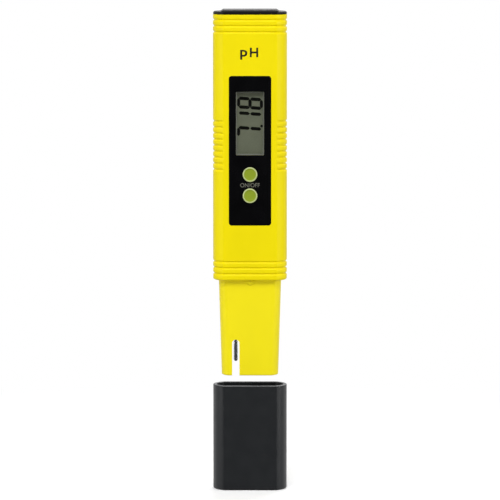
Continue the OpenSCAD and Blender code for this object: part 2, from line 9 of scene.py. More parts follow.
import bmesh
import bpy
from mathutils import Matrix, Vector


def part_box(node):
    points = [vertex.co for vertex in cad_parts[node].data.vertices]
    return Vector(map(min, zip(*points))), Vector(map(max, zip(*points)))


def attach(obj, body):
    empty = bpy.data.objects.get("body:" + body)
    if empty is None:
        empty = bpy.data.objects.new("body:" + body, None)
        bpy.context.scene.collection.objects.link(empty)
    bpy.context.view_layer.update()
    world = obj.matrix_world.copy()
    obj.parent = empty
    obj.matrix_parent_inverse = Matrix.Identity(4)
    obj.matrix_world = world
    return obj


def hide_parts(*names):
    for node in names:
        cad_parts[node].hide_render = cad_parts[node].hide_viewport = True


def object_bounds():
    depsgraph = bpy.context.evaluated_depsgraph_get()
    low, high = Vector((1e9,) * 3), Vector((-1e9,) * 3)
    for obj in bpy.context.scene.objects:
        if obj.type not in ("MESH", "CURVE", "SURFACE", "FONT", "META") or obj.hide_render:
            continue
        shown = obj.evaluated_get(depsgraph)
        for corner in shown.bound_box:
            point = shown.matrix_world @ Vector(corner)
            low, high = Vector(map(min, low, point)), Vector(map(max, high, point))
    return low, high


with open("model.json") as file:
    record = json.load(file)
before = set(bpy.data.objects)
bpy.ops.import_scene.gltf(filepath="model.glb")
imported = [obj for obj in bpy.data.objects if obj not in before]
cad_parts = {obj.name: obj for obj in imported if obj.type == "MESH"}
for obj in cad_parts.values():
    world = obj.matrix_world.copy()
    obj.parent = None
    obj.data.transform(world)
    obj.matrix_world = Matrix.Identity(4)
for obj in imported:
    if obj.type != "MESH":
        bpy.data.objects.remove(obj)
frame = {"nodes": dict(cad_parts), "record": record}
cad_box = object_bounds()

MM = 0.001
EPS = 0.01          # a hair's breadth between pieces that lie on each other
SAME_PLACE = 1e-7   # in metres: points closer than this are one point
PAST = 1.0          # how far a cutting solid reaches past what it cuts


def box_mm(node):
    """Lowest and highest corner of a CAD node, in millimetres."""
    low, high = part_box(node)
    return low / MM, high / MM


def middle_z(node):
    low, high = box_mm(node)
    return (low.z + high.z) / 2


# ---------------------------------------------------------------- sizes from the frame

shell_low, shell_high = box_mm("front_shell")
BODY_W = shell_high.x - shell_low.x
HALF_D = -shell_low.y
SHOULDER_Z = shell_low.z
TOP_Z = shell_high.z

SIDE_R = 8.18           # radius of the body's round sides
SIDE_X = BODY_W / 2 - SIDE_R
WALL = 1.5              # wall of the shells
EDGE_R = 0.95           # blend between the flat faces and the round sides
LEAST_BLEND = 0.25      # the blend gets tighter in a deeper inset, down to this
BLEND_LOSS = 0.4        # how much of the inset the blend loses

GROOVE_DEPTH = 0.45
GROOVE_REACH = 0.7      # from the middle of a groove to where it fades out
GROOVE_PITCH = 2.45
COLLAR_MARGIN = 2.7
TOP_MARGIN = 2.2
END_GROOVES = 3
GRIP_GROOVES = 9
GRIP_MID = 54.9         # from the shoulder to the middle of the grips
GRIP_FADE = (10.6, 11.7)  # the grips fade in between these distances from the middle

TIP_Z = box_mm("electrode_guard")[0].z
GUARD_INSET = 2.3       # from the body's outline in to the guard's, at the shoulder
GUARD_WALL = 1.3
GUARD_TAPER = 1.2       # how far each side of the guard has drawn in at its tip
SLOT_W = 3.0
SLOT_H = 14.7

label_low, label_high = box_mm("front_label")
LABEL_R = 1.2
LABEL_BEVEL = 0.06
LABEL_GAP = 0.05

window_low, window_high = box_mm("display_window")
WINDOW_FLANGE = 1.0
WINDOW_W = window_high.x - window_low.x - 2 * WINDOW_FLANGE
WINDOW_Z0 = window_low.z + WINDOW_FLANGE
WINDOW_Z1 = window_high.z - WINDOW_FLANGE
WINDOW_R = 0.3
WINDOW_GAP = 0.1

BUTTON_ZS = {node: middle_z(node) for node in ("power_button", "cal_button")}
BUTTON_R = 2.95
BUTTON_GAP = 0.08


def collar_groove_heights():
    return [SHOULDER_Z + COLLAR_MARGIN + i * GROOVE_PITCH for i in range(END_GROOVES)]


def top_groove_heights():
    return [TOP_Z - TOP_MARGIN - i * GROOVE_PITCH for i in range(END_GROOVES)]


def grip_heights():
    middle = (GRIP_GROOVES - 1) / 2
    return [SHOULDER_Z + GRIP_MID + (i - middle) * GROOVE_PITCH for i in range(GRIP_GROOVES)]


# ---------------------------------------------------------------- outlines

ARC_STEPS = 26
BLEND_STEPS = 8
FLAT_STEPS = 12
SEAM_DEPTH = 0.14       # depth of the fine line between the two shells
SEAM_HALF_W = 0.13
SEAM_GAP = 0.015
LIP_INSET = 0.55 * WALL  # a lip on the rear shell enters a step in the front shell
LIP_H = 0.8
LIP_GAP = 0.05
RIB_INSET = 2.6         # rib inside the shells that holds the probe's plug down
RIB_H = 1.0
RIB_Z = SHOULDER_Z + 5.8


def arc(cx, cy, radius, start, end, steps):
    """Points along an arc, both ends included."""
    turns = [start + (end - start) * k / steps for k in range(steps + 1)]
    return [(cx + radius * math.cos(a), cy + radius * math.sin(a)) for a in turns]


def quarter_round(radius, steps):
    """Distances from the two faces that meet at a rounded edge, step by step along the round."""
    turns = [k * math.pi / (2 * steps) for k in range(steps + 1)]
    return [(radius * (1 - math.sin(a)), radius * (1 - math.cos(a))) for a in turns]


def smooth_step(t):
    """Rises gently from 0 to 1 as t does, and stays there outside that range."""
    t = min(1, max(0, t))
    return t * t * (3 - 2 * t)


def half_section(inset, blend=EDGE_R, side_x=SIDE_X, seam=False, flat_steps=FLAT_STEPS):
    """Front half of the body's section, inset evenly, from the left side to the right."""
    r = SIDE_R - inset
    half_d = HALF_D - inset
    blend_x = side_x + math.sqrt((r - blend) ** 2 - (half_d - blend) ** 2)
    turn = math.atan2(half_d - blend, blend_x - side_x)
    start = SEAM_HALF_W / r if seam else 0
    right = arc(side_x, 0, r, -start, -turn, ARC_STEPS)
    right += arc(blend_x, blend - half_d, blend, -turn, -math.pi / 2, BLEND_STEPS)[1:]
    if seam:
        right.insert(0, (side_x + r - SEAM_DEPTH, -SEAM_GAP))
    left = [(-x, y) for x, y in right]
    flat = [(blend_x * (2 * k / flat_steps - 1), -half_d) for k in range(1, flat_steps)]
    return left + flat + right[::-1]


def whole_section(inset, blend=EDGE_R, side_x=SIDE_X, flat_steps=FLAT_STEPS):
    """The body's section all the way round."""
    front = half_section(inset, blend, side_x, flat_steps=flat_steps)
    return front + [(x, -y) for x, y in front[-2:0:-1]]


def round_rect(w, z0, z1, r, steps=8):
    """Rectangle with round corners in X and Z, anticlockwise as seen from the front."""
    corners = [(w / 2 - r, z1 - r), (r - w / 2, z1 - r), (r - w / 2, z0 + r), (w / 2 - r, z0 + r)]
    points = []
    for k, (x, z) in enumerate(corners):
        points += arc(x, z, r, k * math.pi / 2, (k + 1) * math.pi / 2, steps)
    return points


def ring_of(x, z, r, steps=72):
    return arc(x, z, r, 0, 2 * math.pi, steps)[:-1]


# ---------------------------------------------------------------- mesh building

def new_object(name, verts, faces):
    """Object from vertices in millimetres, with its doubled points merged and faces turned out."""
    mesh = bpy.data.meshes.new(name)
    mesh.from_pydata([Vector(v) * MM for v in verts], [], faces)
    bm = bmesh.new()
    bm.from_mesh(mesh)
    bmesh.ops.remove_doubles(bm, verts=bm.verts, dist=SAME_PLACE)
    bmesh.ops.recalc_face_normals(bm, faces=bm.faces)
    bm.to_mesh(mesh)
    bm.free()
    obj = bpy.data.objects.new(name, mesh)
    bpy.context.scene.collection.objects.link(obj)
    return obj


def sweep(rings, closed_ring=True, closed_path=False):
    """Vertices and faces of a skin through rings of equal length."""
    count = len(rings[0])
    verts = [p for ring in rings for p in ring]
    faces = []
    for j in range(len(rings) if closed_path else len(rings) - 1):
        here = j * count
        there = (j + 1) % len(rings) * count
        for i in range(count if closed_ring else count - 1):
            k = (i + 1) % count
            faces.append((here + i, here + k, there + k, there + i))
    return verts, faces


def capped(rings):
    """A sweep whose first and last rings are closed by one face each."""
    verts, faces = sweep(rings)
    count = len(rings[0])
    faces.append(tuple(range(count)))
    faces.append(tuple(range(len(verts) - count, len(verts))))
    return verts, faces


def prism_z(outline, z0, z1):
    """Straight solid along Z on an (x, y) outline."""
    return capped([[(x, y, z) for x, y in outline] for z in (z0, z1)])


def prism_y(outline, y0, y1):
    """Straight solid along Y on an (x, z) outline."""
    return capped([[(x, y, z) for x, z in outline] for y in (y0, y1)])


def lathe_y(profile, x, z, steps=72):
    """Solid turned about an axis along Y, from (radius, y) points."""
    return capped([[(px, y, pz) for px, pz in ring_of(x, z, r, steps)] for r, y in profile])


def joined(*parts):
    """One list of vertices and faces from several."""
    verts = []
    faces = []
    for more_verts, more_faces in parts:
        faces += [tuple(i + len(verts) for i in face) for face in more_faces]
        verts += more_verts
    return verts, faces


def bake(obj):
    """Replaces the object's mesh with what its modifiers make of it."""
    graph = bpy.context.evaluated_depsgraph_get()
    graph.update()
    made = bpy.data.meshes.new_from_object(obj.evaluated_get(graph))
    obj.modifiers.clear()
    obj.data = made
    return obj


def combine(obj, verts, faces, operation="DIFFERENCE"):
    """Cuts a solid out of the object, or joins it on."""
    tool = new_object("tool", verts, faces)
    modifier = obj.modifiers.new("combine", "BOOLEAN")
    modifier.object = tool
    modifier.operation = operation
    modifier.solver = "EXACT"
    bake(obj)
    bpy.data.objects.remove(tool)
    return obj


def split_large_faces(obj):
    """Splits faces of more than four corners into triangles, and drops any that have no area."""
    bm = bmesh.new()
    bm.from_mesh(obj.data)
    large = [face for face in bm.faces if len(face.verts) > 4]
    bmesh.ops.triangulate(bm, faces=large, ngon_method="BEAUTY")
    bmesh.ops.dissolve_degenerate(bm, dist=SAME_PLACE, edges=bm.edges)
    bm.to_mesh(obj.data)
    bm.free()


def smooth(obj, angle=32):
    """Shades the object smooth: edges sharper than the angle stay crisp, and large faces stay flat."""
    split_large_faces(obj)
    for face in obj.data.polygons:
        face.use_smooth = True
    obj.data.set_sharp_from_angle(angle=math.radians(angle))
    weigh = obj.modifiers.new("face_weights", "WEIGHTED_NORMAL")
    weigh.keep_sharp = True
    weigh.weight = 60
    return obj


def plate_from_curve(name, curve, y_front, y_back):
    """Turns a filled 2D curve in millimetres into a mesh that stands facing -Y."""
    maker = bpy.data.objects.new(name, curve)
    bpy.context.scene.collection.objects.link(maker)
    bpy.context.view_layer.update()
    graph = bpy.context.evaluated_depsgraph_get()
    mesh = bpy.data.meshes.new_from_object(maker.evaluated_get(graph))
    bpy.data.objects.remove(maker)
    middle = (y_front + y_back) / 2
    verts = [(v.co.x, middle - v.co.z, v.co.y) for v in mesh.vertices]
    faces = [tuple(face.vertices) for face in mesh.polygons]
    return new_object(name, verts, faces)


def flat_plate(name, outlines, y_front, y_back, bevel=0.0):
    """Plate facing -Y from closed (x, z) outlines. The first is its edge, the others are holes."""
    curve = bpy.data.curves.new(name, "CURVE")
    curve.dimensions = "2D"
    curve.fill_mode = "BOTH"
    curve.extrude = (y_back - y_front) / 2 - bevel
    curve.bevel_depth = bevel
    curve.bevel_resolution = 2
    curve.offset = -bevel
    for k, outline in enumerate(outlines):
        points = outline if k == 0 else outline[::-1]
        spline = curve.splines.new("POLY")
        spline.points.add(len(points) - 1)
        for target, (x, z) in zip(spline.points, points):
            target.co = (x, z, 0, 1)
        spline.use_cyclic_u = True
    return plate_from_curve(name, curve, y_front, y_back)


def paint(obj, first, second, is_second):
    """Gives an object two materials. A face that passes the test gets the second."""
    obj.data.materials.append(first)
    obj.data.materials.append(second)
    for face in obj.data.polygons:
        face.material_index = 1 if is_second(face) else 0


def finish_piece(obj, material, body, slot, *nodes):
    """Gives a piece its material and its body, and hides the CAD nodes it stands for. The slot argument
    is not used.
    """
    if material:
        obj.data.materials.clear()
        obj.data.materials.append(material)
    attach(obj, body)
    if nodes:
        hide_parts(*nodes)
    return obj


# ---------------------------------------------------------------- material helpers

class NodeTree:
    """A node tree under construction, with short ways to add the nodes that this scene uses."""

    def __init__(self, tree):
        self.tree = tree
        self.tree.nodes.clear()

    def add(self, kind, **settings):
        node = self.tree.nodes.new(kind)
        for key, value in settings.items():
            setattr(node, key, value)
        return node

    def link(self, source, target):
        self.tree.links.new(source, target)

    def feed(self, value, socket):
        """Links the socket to another one, or sets it to a plain value."""
        if isinstance(value, bpy.types.NodeSocket):
            self.link(value, socket)
        else:
            socket.default_value = value

    def noise(self, size_mm, detail=2.0, stretch=(1, 1, 1)):
        """Noise whose features are about size_mm across, drawn out along the stretched axes."""
        place = self.add("ShaderNodeTexCoord")
        mapping = self.add("ShaderNodeMapping")
        mapping.inputs["Scale"].default_value = [1 / s for s in stretch]
        self.link(place.outputs["Object"], mapping.inputs["Vector"])
        noise = self.add("ShaderNodeTexNoise")
        noise.inputs["Scale"].default_value = 1 / (size_mm * MM)
        noise.inputs["Detail"].default_value = detail
        self.link(mapping.outputs["Vector"], noise.inputs["Vector"])
        return noise.outputs["Fac"]

    def spread(self, value, low, high, start=0.3, end=0.7):
        """Maps a value between start and end to between low and high."""
        node = self.add("ShaderNodeMapRange")
        self.link(value, node.inputs["Value"])
        node.inputs["From Min"].default_value = start
        node.inputs["From Max"].default_value = end
        node.inputs["To Min"].default_value = low
        node.inputs["To Max"].default_value = high
        return node.outputs["Result"]

    def math(self, operation, a, b):
        node = self.add("ShaderNodeMath", operation=operation)
        self.feed(a, node.inputs[0])
        self.feed(b, node.inputs[1])
        return node.outputs[0]

    def choose(self, choice, if_off, if_on):
        """One of two numbers: the first where choice is 0 and the second where it is 1."""
        node = self.add("ShaderNodeMix", data_type="FLOAT")
        self.link(choice, node.inputs[0])
        self.feed(if_off, node.inputs[2])
        self.feed(if_on, node.inputs[3])
        return node.outputs[0]

    def blend(self, share, first, second):
        """Mixes two colours."""
        node = self.add("ShaderNodeMix", data_type="RGBA")
        self.link(share, node.inputs[0])
        for socket, colour in ((node.inputs[6], first), (node.inputs[7], second)):
            self.feed((*colour, 1) if isinstance(colour, tuple) else colour, socket)
        return node.outputs[2]


class Look(NodeTree):
    """A material under construction, with one Principled shader that shows unless it is relinked."""

    def __init__(self, name):
        self.material = bpy.data.materials.new(name)
        self.material.use_nodes = True
        super().__init__(self.material.node_tree)
        self.output = self.add("ShaderNodeOutputMaterial")
        self.shader = self.add("ShaderNodeBsdfPrincipled")
        self.link(self.shader.outputs[0], self.output.inputs[0])

    def set(self, **values):
        """Sets the shader's inputs, such as Roughness=0.4 or Specular_IOR_Level=0.2."""
        for key, value in values.items():
            self.feed(value, self.shader.inputs[key.replace("_", " ")])

    def show_mix(self, share, first, second):
        """Shows a mix of two shaders instead of the Principled one alone."""
        mix = self.add("ShaderNodeMixShader")
        for socket, source in zip(mix.inputs, (share, first.outputs[0], second.outputs[0])):
            self.link(source, socket)
        self.link(mix.outputs[0], self.output.inputs[0])

    def edges(self, radius_mm):
        """1 on outer edges and 0 on open faces, from how far the bevelled normal turns away."""
        edge_dot, face_dot = 0.93, 0.998
        bevel = self.add("ShaderNodeBevel", samples=4)
        bevel.inputs["Radius"].default_value = radius_mm * MM
        place = self.add("ShaderNodeNewGeometry")
        dot = self.add("ShaderNodeVectorMath", operation="DOT_PRODUCT")
        self.link(bevel.outputs[0], dot.inputs[0])
        self.link(place.outputs["Normal"], dot.inputs[1])
        return self.spread(dot.outputs["Value"], 1, 0, edge_dot, face_dot)

    def bumps(self, *layers):
        """Bump from (height, depth_mm) layers, one on another."""
        normal = None
        for height, depth_mm in layers:
            node = self.add("ShaderNodeBump")
            node.inputs["Strength"].default_value = 1
            node.inputs["Distance"].default_value = depth_mm * MM
            self.link(height, node.inputs["Height"])
            if normal:
                self.link(normal, node.inputs["Normal"])
            normal = node.outputs["Normal"]
        self.link(normal, self.shader.inputs["Normal"])


def scaled(colour, factor):
    """The colour made lighter or darker."""
    return tuple(min(1, c * factor) for c in colour)


def moulded_plastic(name, colour, roughness=0.36, specular=0.2, grain_mm=0.009, edge_gain=1.06):
    """Moulded plastic: faint flow marks, a fine spark-eroded grain and edges rubbed a little."""
    look = Look(name)
    flow = look.noise(14, 2, stretch=(1, 1, 2.5))
    body = look.blend(look.spread(flow, 0, 1), scaled(colour, 0.965), scaled(colour, 1.02))
    worn = look.edges(0.35)
    look.set(Base_Color=look.blend(worn, body, scaled(colour, edge_gain)))
    smudge = look.spread(look.noise(6, 4), -0.05, 0.06)
    look.set(Roughness=look.math("ADD", smudge, look.spread(worn, roughness, roughness - 0.06, 0, 1)))
    look.set(Specular_IOR_Level=specular)
    look.bumps((look.noise(9, 1), 0.012), (look.noise(0.28, 3), grain_mm))
    return look.material


def glossy_film(name, colour):
    """Printed film: nearly flat, with a soft gloss, dust-fine scratches and a slight ripple."""
    look = Look(name)
    scratch = look.noise(0.5, 4, stretch=(1, 1, 16))
    look.set(Base_Color=look.blend(look.spread(look.noise(8), 0, 1), colour, scaled(colour, 1.8)))
    look.set(Roughness=look.spread(scratch, 0.16, 0.27))
    look.set(Specular_IOR_Level=0.1)
    look.bumps((look.noise(12, 1), 0.01), (scratch, 0.0006))
    return look.material


def metal(name, colour, roughness, stretch=(1, 1, 14), grain_mm=0.0015):
    """Drawn or brushed metal, with its grain along the stretched axis."""
    look = Look(name)
    grain = look.noise(0.22, 4, stretch=stretch)
    tone = look.blend(look.spread(look.noise(4, 3), 0, 1), scaled(colour, 0.86), scaled(colour, 1.08))
    look.set(Base_Color=tone, Metallic=1.0)
    look.set(Roughness=look.spread(grain, roughness - 0.07, roughness + 0.1))
    look.bumps((grain, grain_mm))
    return look.material


def clear_material(name, tint):
    """Thin clear plastic or glass: what is behind shows unbent, and the side that is seen mirrors.

    The mirror is a little smeared and waved. Its share grows towards grazing angles.
    """
    look = Look(name)
    look.set(Base_Color=(1, 1, 1, 1), Metallic=1.0)
    look.set(Roughness=look.spread(look.noise(3, 4), 0.03, 0.09))
    look.bumps((look.noise(5, 1), 0.001))
    through = look.add("ShaderNodeBsdfTransparent")
    through.inputs["Color"].default_value = (*tint, 1)
    fresnel = look.add("ShaderNodeFresnel")
    fresnel.inputs["IOR"].default_value = 1.45
    geometry = look.add("ShaderNodeNewGeometry")
    outside = look.math("SUBTRACT", 1, geometry.outputs["Backfacing"])
    look.show_mix(look.math("MULTIPLY", fresnel.outputs[0], outside), through, look.shader)
    return look.material


def lcd_polariser(name, colour):
    """Grey-green polariser over a matt reflector: a silky haze and a very fine sparkle."""
    look = Look(name)
    cloud = look.blend(look.spread(look.noise(5, 2), 0, 1), scaled(colour, 0.9), scaled(colour, 1.08))
    speck = look.blend(look.spread(look.noise(0.16, 2), 0, 1), cloud, scaled(colour, 1.15))
    look.set(Base_Color=speck, Specular_IOR_Level=0.4)
    look.set(Roughness=look.spread(look.noise(0.3, 2), 0.32, 0.48))
    look.bumps((look.noise(0.2, 2), 0.001))
    return look.material


def solder_mask(name, colour):
    """Green lacquer over copper tracks that run slantwise and wander a little."""
    bands_per_metre = 260
    look = Look(name)
    bands = look.add("ShaderNodeTexWave", wave_type="BANDS", bands_direction="DIAGONAL")
    place = look.add("ShaderNodeTexCoord")
    look.link(place.outputs["Object"], bands.inputs["Vector"])
    bands.inputs["Scale"].default_value = bands_per_metre
    bands.inputs["Distortion"].default_value = 2.5
    tracks = look.spread(bands.outputs["Fac"], 0, 1, 0.55, 0.62)
    look.set(Base_Color=look.blend(tracks, colour, scaled(colour, 1.9)))
    look.set(Roughness=look.spread(look.noise(2, 3), 0.25, 0.4))
    look.bumps((tracks, 0.02), (look.noise(0.4, 2), 0.004))
    return look.material


def rubber(name, colour):
    """Matt rubber with a bloom of paler dust."""
    look = Look(name)
    dust = look.spread(look.noise(1.2, 5), 0, 1, 0.45, 0.8)
    look.set(Base_Color=look.blend(dust, colour, scaled(colour, 2.0)), Roughness=0.8)
    look.bumps((look.noise(0.15, 3), 0.01))
    return look.material


def ceramic(name, colour):
    """Matt, rough surface with fine pores."""
    look = Look(name)
    pores = look.spread(look.noise(0.2, 4), 0, 1)
    look.set(Base_Color=look.blend(pores, scaled(colour, 0.8), colour))
    look.set(Roughness=look.spread(pores, 0.6, 0.85))
    look.bumps((pores, 0.02))
    return look.material


def ink(name, colour, specular=0.5):
    """Pad-printed ink: slightly uneven in cover and sheen."""
    look = Look(name)
    cover = look.spread(look.noise(0.35, 3), 0, 1)
    look.set(Base_Color=look.blend(cover, colour, scaled(colour, 1.25)), Specular_IOR_Level=specular)
    look.set(Roughness=look.spread(cover, 0.35, 0.55))
    look.bumps((look.noise(0.12, 2), 0.002))
    return look.material


MATERIALS = {
    "yellow_shell": moulded_plastic("yellow_shell", (0.885, 0.735, 0.001), specular=0.1),
    "yellow_guard": moulded_plastic("yellow_guard", (0.92, 0.785, 0.006), roughness=0.34),
    "black_label": glossy_film("black_label", (0.0015, 0.0015, 0.0018)),
    "clear_window": clear_material("clear_window", (0.93, 0.95, 0.93)),
    "lcd": lcd_polariser("lcd", (0.172, 0.173, 0.127)),
    "reflector_foil": metal("reflector_foil", (0.6, 0.62, 0.58), 0.45),
    "dark_rubber": rubber("dark_rubber", (0.02, 0.02, 0.02)),
    "board": solder_mask("board", (0.012, 0.11, 0.035)),
    "chip_black": moulded_plastic("chip_black", (0.018, 0.018, 0.02), 0.6, grain_mm=0.012),
    "chip_tan": ceramic("chip_tan", (0.42, 0.28, 0.15)),
    "steel": metal("steel", (0.62, 0.63, 0.65), 0.2),
    "gold_contact": metal("gold_contact", (0.75, 0.52, 0.17), 0.25),
    "white_plastic": moulded_plastic("white_plastic", (0.72, 0.72, 0.68), 0.45),
    "probe_glass": clear_material("probe_glass", (0.9, 0.96, 0.97)),
    "porous_ceramic": ceramic("porous_ceramic", (0.84, 0.82, 0.77)),
    "wire_red": moulded_plastic("wire_red", (0.45, 0.03, 0.02), 0.35),
    "black_cap": moulded_plastic("black_cap", (0.0135, 0.015, 0.017), specular=0.5, grain_mm=0.022,
                                 edge_gain=1.6),
    "button_green": moulded_plastic("button_green", (0.25, 0.325, 0.02), 0.5, specular=0.15,
                                    grain_mm=0.035),
}
# Paler copy of the button's green for its rim: a painted highlight of the rounded rim catching light.
BUTTON_RIM_PAINTED_SHEEN = moulded_plastic("button_rim_painted_sheen", (0.52, 0.59, 0.25), 0.3, specular=0.5)
# A darker copy of the caps' black plastic for the battery cap, which shares their slot: painted shade.
END_CAP_SHADED_BLACK = moulded_plastic("end_cap_black_painted_shade", (0.002, 0.002, 0.0023), 0.5, grain_mm=0.022,
                                edge_gain=1.5)
NEEDLE_STEEL = metal("needle_steel", (0.9, 0.93, 0.96), 0.14)
CELL_STEEL = metal("cell_steel", (0.74, 0.75, 0.76), 0.4, stretch=(1, 1, 1))
FROSTED_EDGE = ceramic("frosted_edge", (0.21, 0.21, 0.18))
BLACK_INK = ink("black_ink", (0.006, 0.004, 0.002))
PALE_INK = ink("pale_ink", (0.13, 0.13, 0.10))
LCD_INK = ink("lcd_ink", (0.0015, 0.0015, 0.001), specular=0.05)


# ---------------------------------------------------------------- housing

def groove_depth_at(z, heights):
    """Depth of the nearest groove at height z, fading smoothly to each side."""
    depth = 0
    for middle in heights:
        away = abs(z - middle) / GROOVE_REACH
        if away < 1:
            depth = GROOVE_DEPTH * math.cos(away * math.pi / 2) ** 2
    return depth


def wall_heights(z_low, z_high):
    """Heights for the rings of the outer wall: close together in the grooves."""
    steps = 7
    heights = {z_low, z_high}
    for middle in collar_groove_heights() + grip_heights() + top_groove_heights():
        for k in range(-steps, steps + 1):
            heights.add(middle + GROOVE_REACH * k / steps)
    return sorted(z for z in heights if z_low <= z <= z_high)


def grip_share(x):
    """How much of a grip groove's depth shows at distance x from the middle."""
    start, end = GRIP_FADE
    return smooth_step((abs(x) - start) / (end - start))


def outer_ring(z, side):
    """Ring of the outer wall with its grooves. side is -1 for the front shell, 1 for the rear."""
    inset = groove_depth_at(z, collar_groove_heights() + top_groove_heights())
    grip = groove_depth_at(z, grip_heights())
    plain = half_section(inset, seam=True)
    deep = half_section(inset + grip, seam=True)
    ring = []
    for (x0, y0), (x1, y1) in zip(plain, deep):
        share = grip_share(x0)
        ring.append((x0 + (x1 - x0) * share, -side * (y0 + (y1 - y0) * share), z))
    return ring


def plain_ring(inset, z, side):
    """Ring without grooves, inset evenly from the body's outline."""
    blend = max(LEAST_BLEND, EDGE_R - inset * BLEND_LOSS)
    return [(x, -side * y, z) for x, y in half_section(inset, blend, seam=True)]


def shell_rings(side):
    """Rings round one shell's wall: down the outside, in under the shoulder and up the inside."""
    top_round = 0.3
    foot_round = 0.85
    steps = 6
    outside = wall_heights(SHOULDER_Z + foot_round, TOP_Z - top_round)[::-1]
    inside = [
        (GUARD_INSET, SHOULDER_Z), (GUARD_INSET, SHOULDER_Z + WALL), (WALL, SHOULDER_Z + WALL),
        (WALL, RIB_Z), (RIB_INSET, RIB_Z), (RIB_INSET, RIB_Z + RIB_H), (WALL, RIB_Z + RIB_H),
        (WALL, TOP_Z),
    ]
    rings = []
    for inset, drop in quarter_round(top_round, steps)[:-1]:
        rings.append(plain_ring(inset, TOP_Z - drop, side))
    rings += [outer_ring(z, side) for z in outside]
    for rise, inset in quarter_round(foot_round, steps)[1:]:
        rings.append(plain_ring(inset, SHOULDER_Z + rise, side))
    rings += [plain_ring(inset, z, side) for inset, z in inside]
    return rings


def shell(name, side):
    """One half of the housing as a closed wall, before its openings are cut."""
    rings = shell_rings(side)
    verts, faces = sweep(rings, closed_ring=False, closed_path=True)
    count = len(rings[0])
    faces.append(tuple(range(0, len(verts), count)))
    faces.append(tuple(range(count - 1, len(verts), count)))
    return new_object(name, verts, faces)


def seam_strips(outer_inset, inner_inset, y0, y1):
    """A strip along the seam in each round side, between two insets and two depths."""
    outline = []
    for inset, start, end in ((outer_inset, y0, y1), (inner_inset, y1, y0)):
        r = SIDE_R - inset
        outline += arc(SIDE_X, 0, r, math.asin(start / r), math.asin(end / r), 4)
    ends = SHOULDER_Z + 2 * WALL, TOP_Z - WALL
    return [prism_z([(side * x, y) for x, y in outline], *ends) for side in (-1, 1)]


def label_outline(grow=0.0):
    width = label_high.x - label_low.x
    return round_rect(width + 2 * grow, label_low.z - grow, label_high.z + grow, LABEL_R + grow)


def window_outline(grow=0.0):
    return round_rect(WINDOW_W + 2 * grow, WINDOW_Z0 - grow, WINDOW_Z1 + grow, WINDOW_R + grow)


def rear_label_outline(grow=0.0):
    low, high = box_mm("rear_label")
    return round_rect(high.x - low.x + 2 * grow, low.z - grow, high.z + grow, LABEL_R)


def button_holes():
    return [ring_of(0, z, BUTTON_R + BUTTON_GAP) for z in BUTTON_ZS.values()]


def build_front_shell():
    """Front half of the housing, with the label's recess and the window's and buttons' openings."""
    obj = shell("front_housing", -1)
    combine(obj, *prism_y(label_outline(LABEL_GAP), -HALF_D - PAST, label_high.y))
    for hole in [window_outline(WINDOW_GAP)] + button_holes():
        combine(obj, *prism_y(hole, -HALF_D - PAST, WALL - HALF_D + PAST))
    for strip in seam_strips(LIP_INSET, RIB_INSET + PAST, -LIP_H - 2 * LIP_GAP, PAST):
        combine(obj, *strip)
    smooth(obj)
    finish_piece(obj, MATERIALS["yellow_shell"], "housing", "yellow_shell", "front_shell")


def build_rear_shell():
    """Rear half of the housing, with the label's recess, the seam's lip and the screw bosses."""
    obj = shell("rear_housing", 1)
    recess_y = box_mm("rear_label")[0].y
    combine(obj, *prism_y(rear_label_outline(LABEL_GAP), recess_y, HALF_D + PAST))
    for strip in seam_strips(LIP_INSET + LIP_GAP, WALL - 2 * EPS, -LIP_H, LIP_H):
        combine(obj, *strip, "UNION")
    add_screw_bosses(obj)
    smooth(obj)
    finish_piece(obj, MATERIALS["yellow_shell"], "housing", "yellow_shell", "rear_shell")


def add_screw_bosses(obj):
    """Pillars on the inside of the rear shell that the board's screws bite into."""
    boss_r = 2.2
    bore_r = 0.85
    head_r = 1.6
    board_gap = 0.05
    root = 0.1
    bore_end = 0.3
    wall_y = HALF_D - WALL
    low, high = box_mm("pcb_screws")
    top_y = box_mm("circuit_board")[1].y + board_gap
    for x in (low.x + head_r, high.x - head_r):
        for z in (low.z + head_r, high.z - head_r):
            combine(obj, *prism_y(ring_of(x, z, boss_r, 48), top_y, wall_y + root), "UNION")
            combine(obj, *prism_y(ring_of(x, z, bore_r, 32), top_y - PAST, wall_y - bore_end))


def build_label(name, node, outlines):
    """Glossy label from its own outline, followed by those of its holes."""
    low, high = box_mm(node)
    obj = flat_plate(name, outlines, low.y, high.y, LABEL_BEVEL)
    smooth(obj)
    finish_piece(obj, MATERIALS["black_label"], "housing", "black_label", node)


# ---------------------------------------------------------------- display

def build_window():
    """Clear window with a fine bevel round its face and a flange behind the opening."""
    bevel = 0.12
    draft = 0.45
    flange_t = 0.5
    y0, y1 = window_low.y, window_high.y
    flange_y = y1 - flange_t
    levels = [(-bevel, y0), (0, y0 + bevel), (-draft, flange_y),
              (WINDOW_FLANGE, flange_y), (WINDOW_FLANGE, y1)]
    rings = [[(x, y, z) for x, z in window_outline(grow)] for grow, y in levels]
    obj = new_object("clear_window", *capped(rings))

    def is_side(face):
        return abs(face.normal.y) < 0.5

    paint(obj, MATERIALS["clear_window"], FROSTED_EDGE, is_side)
    smooth(obj)
    finish_piece(obj, None, "housing", "clear_window", "display_window")


def build_lcd_cell():
    """Two glass layers of the display, the front one shorter than the rear."""
    ledge = 1.2
    corner_r = 0.3
    low, high = box_mm("lcd_glass")
    middle = (low.y + high.y) / 2
    width = high.x - low.x
    back = round_rect(width, low.z, high.z, corner_r)
    front = round_rect(width, low.z + ledge, high.z - ledge, corner_r)
    rings = [[(x, low.y, z) for x, z in front], [(x, middle, z) for x, z in front],
             [(x, middle, z) for x, z in back], [(x, high.y, z) for x, z in back]]
    obj = new_object("lcd_cell", *capped(rings))
    smooth(obj)
    finish_piece(obj, MATERIALS["lcd"], "housing", "lcd", "lcd_glass")


